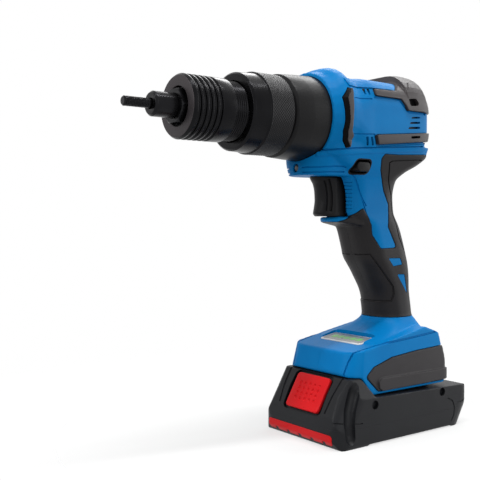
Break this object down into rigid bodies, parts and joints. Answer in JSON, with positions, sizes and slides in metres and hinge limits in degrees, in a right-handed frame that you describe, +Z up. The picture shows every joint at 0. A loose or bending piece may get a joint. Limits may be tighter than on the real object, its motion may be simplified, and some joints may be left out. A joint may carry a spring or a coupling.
{
  "type": "cordless rivet nut tool",
  "caption": "Cordless pistol-grip tool that draws a threaded mandrel back through an anvil to set rivet nuts, with a stroke collar, a trigger and a slide-on battery.",
  "frame": {"origin": "on the underside of the battery, on which the tool stands, close to its middle and in the tool's left-right plane of symmetry", "axes": "+X out of the nose along the mandrel, +Y to the tool's left, +Z up from the battery to the motor head"},
  "size_m": [0.262, 0.078, 0.253],
  "materials": {
    "blue_plastic": "satin moulded blue",
    "grey_plastic": "fine grained warm dark grey",
    "black_plastic": "fine grained black",
    "grip_rubber": "matte soft rubber",
    "black_steel": "black oxide, satin to gloss",
    "bright_steel": "ground",
    "copper_wire": "enamelled wire",
    "magnet": "coated",
    "red_plastic": "satin moulded red",
    "panel_film": "smooth film",
    "clear_lens": "clear lens",
    "circuit_board": "lacquered board",
    "cell_can": null
  },
  "bodies": {
    "housing": {"left_housing": "blue_plastic", "right_housing": "blue_plastic", "rear_cover": "grey_plastic", "left_side_bar": "grey_plastic", "right_side_bar": "grey_plastic", "left_chevron": "grey_plastic", "right_chevron": "grey_plastic", "left_grip_rubber": "grip_rubber", "right_grip_rubber": "grip_rubber", "left_base_insert": "grey_plastic", "right_base_insert": "grey_plastic", "control_panel": "panel_film", "work_light": "clear_lens", "housing_screws": "black_steel", "gear_case": "black_steel", "ring_gear": "bright_steel", "nut_bearing": "bright_steel", "bearing_plate": "bright_steel", "front_bearing": "bright_steel", "rear_bearing": "bright_steel", "motor_end_plate": "black_plastic", "motor_stator": "bright_steel", "stator_windings": "copper_wire", "collar_retainer": "bright_steel", "nose_key": "bright_steel", "trigger_spring": "bright_steel", "trigger_switch": "black_plastic", "control_board": "circuit_board", "terminal_block": "black_plastic"},
    "rotor": {"rotor_shaft": "bright_steel", "rotor_magnets": "magnet", "cooling_fan": "black_plastic", "sun_gear": "bright_steel"},
    "carrier": {"planet_carrier": "bright_steel", "ball_nut": "bright_steel"},
    "planet_1": {"planet_gear_1": "bright_steel"},
    "planet_2": {"planet_gear_2": "bright_steel"},
    "planet_3": {"planet_gear_3": "bright_steel"},
    "puller": {"ball_screw": "bright_steel", "guide_pin": "bright_steel"},
    "spindle": {"mandrel_holder": "black_steel", "mandrel": "black_steel"},
    "collar": {"stroke_collar": "black_steel"},
    "nose": {"nose_sleeve": "black_steel", "anvil": "black_steel", "anvil_lock_nut": "black_steel"},
    "trigger": {"trigger": "grey_plastic"},
    "selector": {"direction_selector": "grey_plastic"},
    "battery": {"battery_upper_case": "black_plastic", "battery_lower_case": "black_plastic", "battery_cells": "cell_can", "battery_board": "circuit_board", "battery_screws": "black_steel", "battery_red_strip": "red_plastic", "release_spring": "bright_steel"},
    "release": {"release_button": "red_plastic"}
  },
  "joints": [
    {"name": "rotor_turn", "type": "hinge", "parent": "housing", "child": "rotor", "pos_m": [0, 0, 0.216], "axis": [1, 0, 0], "range_deg": [0, 3601]},
    {"name": "carrier_turn", "type": "hinge", "parent": "housing", "child": "carrier", "pos_m": [0.04, 0, 0.216], "axis": [1, 0, 0], "range_deg": [0, 721]},
    {"name": "planet_1_turn", "type": "hinge", "parent": "carrier", "child": "planet_1", "pos_m": [0.02905, 0, 0.204], "axis": [1, 0, 0], "range_deg": [-1921, 0]},
    {"name": "planet_2_turn", "type": "hinge", "parent": "carrier", "child": "planet_2", "pos_m": [0.02905, 0.01039, 0.222], "axis": [1, 0, 0], "range_deg": [-1921, 0]},
    {"name": "planet_3_turn", "type": "hinge", "parent": "carrier", "child": "planet_3", "pos_m": [0.02905, -0.01039, 0.222], "axis": [1, 0, 0], "range_deg": [-1921, 0]},
    {"name": "pull_stroke", "type": "slide", "parent": "housing", "child": "puller", "axis": [-1, 0, 0], "range_m": [0, 0.008]},
    {"name": "mandrel_spin", "type": "hinge", "parent": "puller", "child": "spindle", "pos_m": [0.12, 0, 0.216], "axis": [1, 0, 0], "continuous": true},
    {"name": "collar_turn", "type": "hinge", "parent": "housing", "child": "collar", "pos_m": [0.1, 0, 0.216], "axis": [1, 0, 0], "range_deg": [-961, 961]},
    {"name": "nose_slide", "type": "slide", "parent": "housing", "child": "nose", "axis": [1, 0, 0], "range_m": [-0.004, 0.004]},
    {"name": "trigger_pull", "type": "slide", "parent": "housing", "child": "trigger", "axis": [-1, 0, 0], "range_m": [0, 0.006], "stiffness_N_per_m": 1200, "springref_m": -0.002, "deforming": ["trigger_spring"]},
    {"name": "selector_push", "type": "slide", "parent": "housing", "child": "selector", "axis": [0, 1, 0], "range_m": [-0.006, 0]},
    {"name": "battery_slide", "type": "slide", "parent": "housing", "child": "battery", "axis": [1, 0, 0], "range_m": [0, 0.12]},
    {"name": "release_press", "type": "slide", "parent": "battery", "child": "release", "axis": [-0.8578, 0, -0.514], "range_m": [0, 0.004], "stiffness_N_per_m": 1500, "springref_m": -0.002, "deforming": ["release_spring"]}
  ],
  "couplings": [
    {"joint": "carrier_turn", "follows": "pull_stroke", "rad_per_m": 1570.8},
    {"joint": "rotor_turn", "follows": "pull_stroke", "rad_per_m": 7854},
    {"joint": "planet_1_turn", "follows": "pull_stroke", "rad_per_m": -4188.8},
    {"joint": "planet_2_turn", "follows": "pull_stroke", "rad_per_m": -4188.8},
    {"joint": "planet_3_turn", "follows": "pull_stroke", "rad_per_m": -4188.8},
    {"joint": "collar_turn", "follows": "nose_slide", "rad_per_m": 4188.8}
  ]
}
